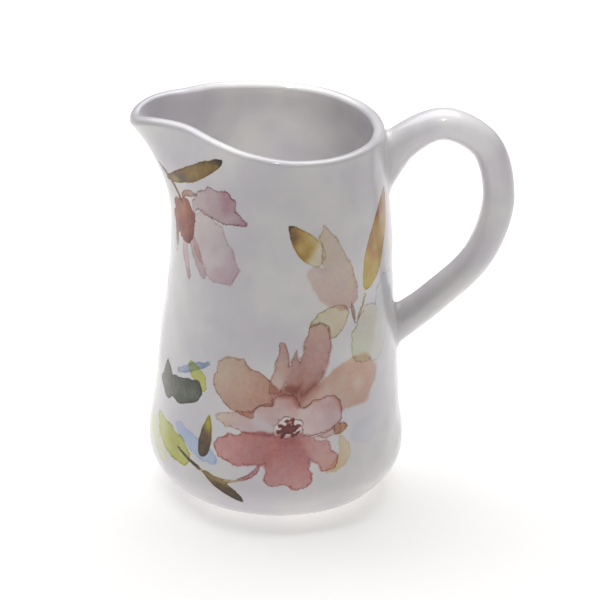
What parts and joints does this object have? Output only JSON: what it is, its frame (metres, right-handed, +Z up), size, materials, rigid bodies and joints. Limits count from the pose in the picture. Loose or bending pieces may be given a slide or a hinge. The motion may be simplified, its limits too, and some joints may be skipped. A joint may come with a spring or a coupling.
{
  "type": "ceramic pitcher",
  "caption": "Tapered glazed ceramic pitcher with a drawn-out pouring spout, an open mouth and a round loop handle luted to the wall.",
  "frame": {"origin": "centre of the flat foot, on the surface that the pitcher stands on and on the axis of the body", "axes": "+Z up along the body's axis, -X towards the spout, +X towards the handle, so the pitcher is symmetric about the XZ plane"},
  "size_m": [0.1917, 0.1272, 0.2047],
  "materials": {
    "decorated_glaze": "glossy off-white glaze over watercolour blossoms and leaves in rose, ochre and olive",
    "plain_glaze": "glossy off-white glaze"
  },
  "bodies": {
    "root": {"pitcher_body": "decorated_glaze", "loop_handle": "plain_glaze", "upper_slip_joint": "plain_glaze", "lower_slip_joint": "plain_glaze"}
  },
  "joints": []
}
